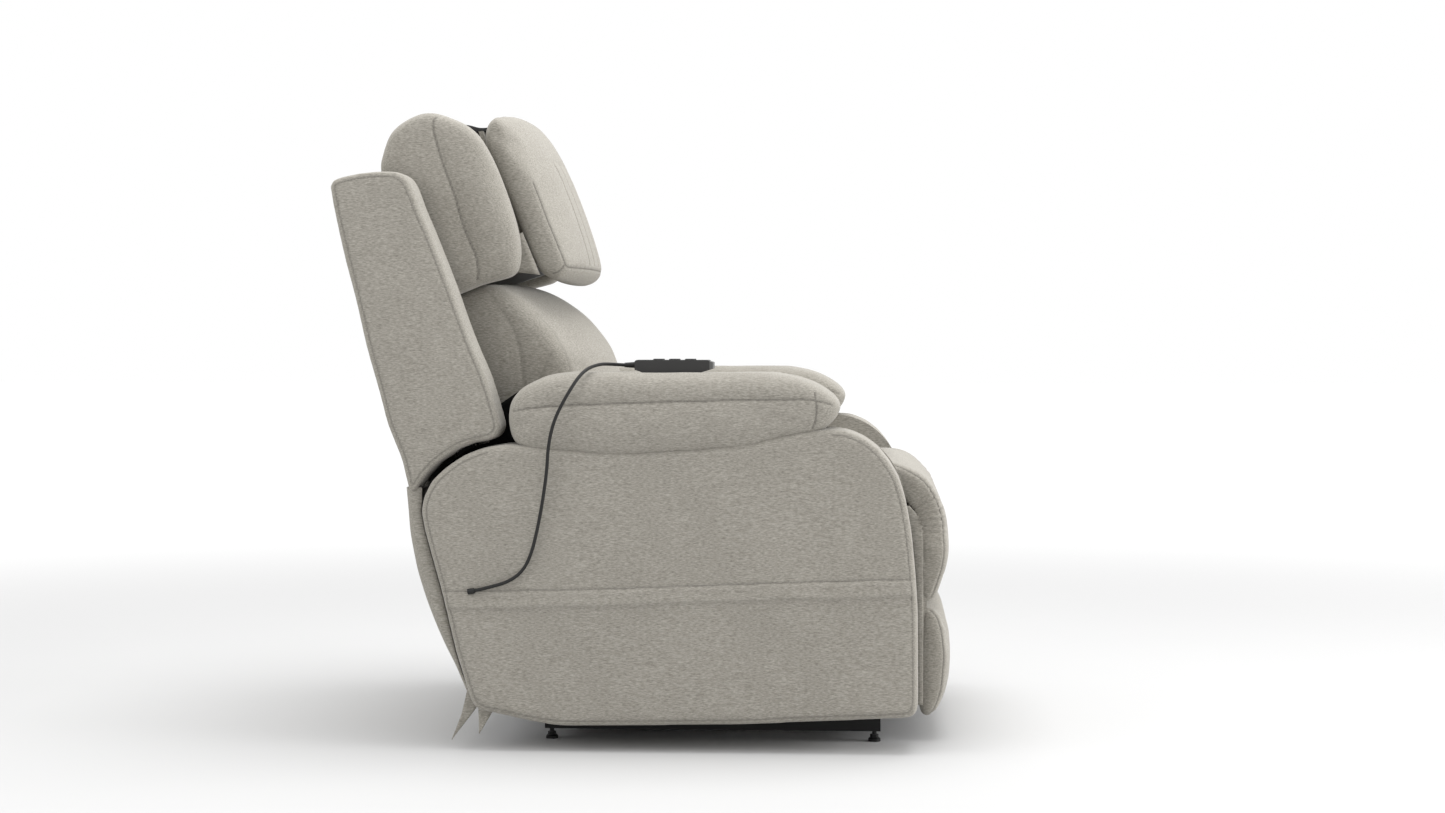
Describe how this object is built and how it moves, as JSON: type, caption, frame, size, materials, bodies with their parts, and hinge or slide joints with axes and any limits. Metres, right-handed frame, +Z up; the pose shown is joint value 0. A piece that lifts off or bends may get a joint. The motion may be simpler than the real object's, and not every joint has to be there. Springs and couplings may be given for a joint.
{
  "type": "lift recliner chair",
  "caption": "Upholstered power lift recliner with pillow back, tilting headrest, rising footrest, pad arms, skirted back and a corded handset.",
  "frame": {"origin": "centre of the chair's box at floor level, under the seat", "axes": "+X the way the sitter faces, +Y the sitter's left, +Z up"},
  "size_m": [1.096, 0.9411, 1.1442],
  "materials": {
    "upholstery_fabric": "woven warm grey linen look",
    "black_lining": "thin woven lining",
    "wood_frame": "bare plywood",
    "black_steel": "satin black powder coat",
    "bright_steel": "satin",
    "black_plastic": "fine texture",
    "grey_plastic": "fine texture",
    "button_rubber": "matt",
    "cord_rubber": "matt"
  },
  "bodies": {
    "base": {"base_side_rails": "black_steel", "base_cross_tubes": "black_steel", "lift_base_brackets": "black_steel"},
    "lift_arms": {"lift_arms": "black_steel", "lift_cross_shafts": "black_steel"},
    "tilt_links": {"tilt_links": "black_steel"},
    "lift_motor": {"lift_motor": "black_plastic"},
    "lift_rod": {"lift_rod": "bright_steel"},
    "chassis": {"mechanism_side_plates": "black_steel", "chassis_side_rails": "black_steel", "chassis_cross_tubes": "black_steel", "chassis_brackets": "black_steel", "seat_deck": "wood_frame", "seat_cushion": "upholstery_fabric", "chaise_roll": "upholstery_fabric", "side_panel_right": "upholstery_fabric", "side_panel_left": "upholstery_fabric", "side_linings": "black_lining", "arm_pad_right": "upholstery_fabric", "arm_pad_left": "upholstery_fabric", "control_box": "black_plastic", "rear_curtain": "upholstery_fabric", "handset_lower_case": "black_plastic", "handset_upper_case": "black_plastic", "handset_end_cap": "grey_plastic", "handset_strain_relief": "cord_rubber", "handset_cord": "cord_rubber", "cord_grommet": "cord_rubber"},
    "recline_motor": {"recline_motor": "black_plastic"},
    "recline_rod": {"recline_rod": "bright_steel"},
    "footrest_motor": {"footrest_motor": "black_plastic"},
    "footrest_rod": {"footrest_rod": "bright_steel"},
    "footrest_cranks": {"footrest_cranks": "black_steel"},
    "footrest_couplers": {"footrest_couplers": "black_steel"},
    "footrest": {"footrest_brackets": "black_steel", "footrest_board": "wood_frame", "chaise_pad": "upholstery_fabric", "leg_pad": "upholstery_fabric"},
    "back": {"back_posts": "black_steel", "back_cross_bars": "black_steel", "back_wing_right": "upholstery_fabric", "back_wing_left": "upholstery_fabric", "back_rear_panel": "upholstery_fabric", "head_pillow": "upholstery_fabric", "headrest_arms": "black_steel", "headrest_gusset": "upholstery_fabric"},
    "headrest": {"headrest_pad": "upholstery_fabric", "headrest_board": "black_steel"},
    "lumbar": {"lumbar_cushion": "upholstery_fabric", "lumbar_plate": "black_steel"},
    "foot_front_right": {"foot_front_right": "black_plastic"},
    "foot_front_left": {"foot_front_left": "black_plastic"},
    "foot_rear_right": {"foot_rear_right": "black_plastic"},
    "foot_rear_left": {"foot_rear_left": "black_plastic"},
    "button_chair_up": {"button_chair_up": "button_rubber"},
    "button_chair_down": {"button_chair_down": "button_rubber"},
    "button_headrest_up": {"button_headrest_up": "button_rubber"},
    "button_headrest_down": {"button_headrest_down": "button_rubber"},
    "button_lumbar_up": {"button_lumbar_up": "button_rubber"},
    "button_lumbar_down": {"button_lumbar_down": "button_rubber"}
  },
  "joints": [
    {"name": "lift_raise", "type": "hinge", "parent": "base", "child": "lift_arms", "pos_m": [0.35, 0, 0.08], "axis": [0, 1, 0], "range_deg": [0, 50]},
    {"name": "chassis_tilt", "type": "hinge", "parent": "lift_arms", "child": "chassis", "pos_m": [-0.05, 0, 0.12], "axis": [0, 1, 0], "range_deg": [-25.5, 0.5]},
    {"name": "tilt_link_turn", "type": "hinge", "parent": "base", "child": "tilt_links", "pos_m": [0.3, 0, 0.084], "axis": [0, 1, 0], "range_deg": [-1, 51]},
    {"name": "lift_motor_turn", "type": "hinge", "parent": "base", "child": "lift_motor", "pos_m": [-0.118, 0, 0.06], "axis": [0, 1, 0], "range_deg": [-10, 10]},
    {"name": "lift_rod_slide", "type": "slide", "parent": "lift_motor", "child": "lift_rod", "axis": [0.9872, 0, 0.1593], "range_m": [-0.002, 0.06]},
    {"name": "back_recline", "type": "hinge", "parent": "chassis", "child": "back", "pos_m": [-0.26, 0, 0.413], "axis": [0, -1, 0], "range_deg": [0, 45], "deforming": ["rear_curtain"]},
    {"name": "recline_motor_turn", "type": "hinge", "parent": "chassis", "child": "recline_motor", "pos_m": [0.27, 0, 0.215], "axis": [0, -1, 0], "range_deg": [-10, 10]},
    {"name": "recline_rod_slide", "type": "slide", "parent": "recline_motor", "child": "recline_rod", "axis": [-0.9746, 0, 0.2239], "range_m": [-0.08, 0.01]},
    {"name": "footrest_extend", "type": "hinge", "parent": "chassis", "child": "footrest", "pos_m": [0.43, 0, 0.39], "axis": [0, -1, 0], "range_deg": [0, 80], "deforming": ["chaise_roll"]},
    {"name": "footrest_crank_turn", "type": "hinge", "parent": "chassis", "child": "footrest_cranks", "pos_m": [0.31, 0, 0.33], "axis": [0, -1, 0], "range_deg": [-1, 81]},
    {"name": "footrest_coupler_turn", "type": "hinge", "parent": "footrest_cranks", "child": "footrest_couplers", "pos_m": [0.358, 0, 0.14], "axis": [0, -1, 0], "range_deg": [-81, 1]},
    {"name": "footrest_motor_turn", "type": "hinge", "parent": "chassis", "child": "footrest_motor", "pos_m": [-0.03, 0, 0.186], "axis": [0, -1, 0], "range_deg": [-10, 10]},
    {"name": "footrest_rod_slide", "type": "slide", "parent": "footrest_motor", "child": "footrest_rod", "axis": [0.9553, 0, 0.2957], "range_m": [-0.01, 0.08]},
    {"name": "headrest_tilt", "type": "hinge", "parent": "back", "child": "headrest", "pos_m": [-0.22795, 0, 0.86387], "axis": [0, 1, 0], "range_deg": [-10, 12], "deforming": ["headrest_gusset"]},
    {"name": "lumbar_push", "type": "slide", "parent": "back", "child": "lumbar", "axis": [0.9494, 0, 0.314], "range_m": [0, 0.025]},
    {"name": "foot_front_right_turn", "type": "hinge", "parent": "base", "child": "foot_front_right", "pos_m": [0.409, -0.3, 0.01], "axis": [0, 0, 1], "continuous": true},
    {"name": "foot_front_left_turn", "type": "hinge", "parent": "base", "child": "foot_front_left", "pos_m": [0.409, 0.3, 0.01], "axis": [0, 0, 1], "continuous": true},
    {"name": "foot_rear_right_turn", "type": "hinge", "parent": "base", "child": "foot_rear_right", "pos_m": [-0.174, -0.3, 0.01], "axis": [0, 0, 1], "continuous": true},
    {"name": "foot_rear_left_turn", "type": "hinge", "parent": "base", "child": "foot_rear_left", "pos_m": [-0.174, 0.3, 0.01], "axis": [0, 0, 1], "continuous": true},
    {"name": "button_chair_up_press", "type": "slide", "parent": "chassis", "child": "button_chair_up", "axis": [0, 0, -1], "range_m": [0, 0.0015], "stiffness_N_per_m": 800, "springref_m": -0.001},
    {"name": "button_chair_down_press", "type": "slide", "parent": "chassis", "child": "button_chair_down", "axis": [0, 0, -1], "range_m": [0, 0.0015], "stiffness_N_per_m": 800, "springref_m": -0.001},
    {"name": "button_headrest_up_press", "type": "slide", "parent": "chassis", "child": "button_headrest_up", "axis": [0, 0, -1], "range_m": [0, 0.0015], "stiffness_N_per_m": 800, "springref_m": -0.001},
    {"name": "button_headrest_down_press", "type": "slide", "parent": "chassis", "child": "button_headrest_down", "axis": [0, 0, -1], "range_m": [0, 0.0015], "stiffness_N_per_m": 800, "springref_m": -0.001},
    {"name": "button_lumbar_up_press", "type": "slide", "parent": "chassis", "child": "button_lumbar_up", "axis": [0, 0, -1], "range_m": [0, 0.0015], "stiffness_N_per_m": 800, "springref_m": -0.001},
    {"name": "button_lumbar_down_press", "type": "slide", "parent": "chassis", "child": "button_lumbar_down", "axis": [0, 0, -1], "range_m": [0, 0.0015], "stiffness_N_per_m": 800, "springref_m": -0.001}
  ],
  "couplings": [
    {"joint": "chassis_tilt", "follows": "lift_raise", "ratio": -0.5},
    {"joint": "tilt_link_turn", "follows": "lift_raise", "ratio": 0.997},
    {"joint": "lift_motor_turn", "follows": "lift_raise", "ratio": 0.005},
    {"joint": "lift_rod_slide", "follows": "lift_raise", "m_per_rad": 0.057},
    {"joint": "recline_motor_turn", "follows": "back_recline", "ratio": -0.05},
    {"joint": "recline_rod_slide", "follows": "back_recline", "m_per_rad": -0.0675},
    {"joint": "footrest_crank_turn", "follows": "footrest_extend", "ratio": 1},
    {"joint": "footrest_coupler_turn", "follows": "footrest_extend", "ratio": -1},
    {"joint": "footrest_motor_turn", "follows": "footrest_extend", "ratio": 0.015},
    {"joint": "footrest_rod_slide", "follows": "footrest_extend", "m_per_rad": 0.0355}
  ]
}
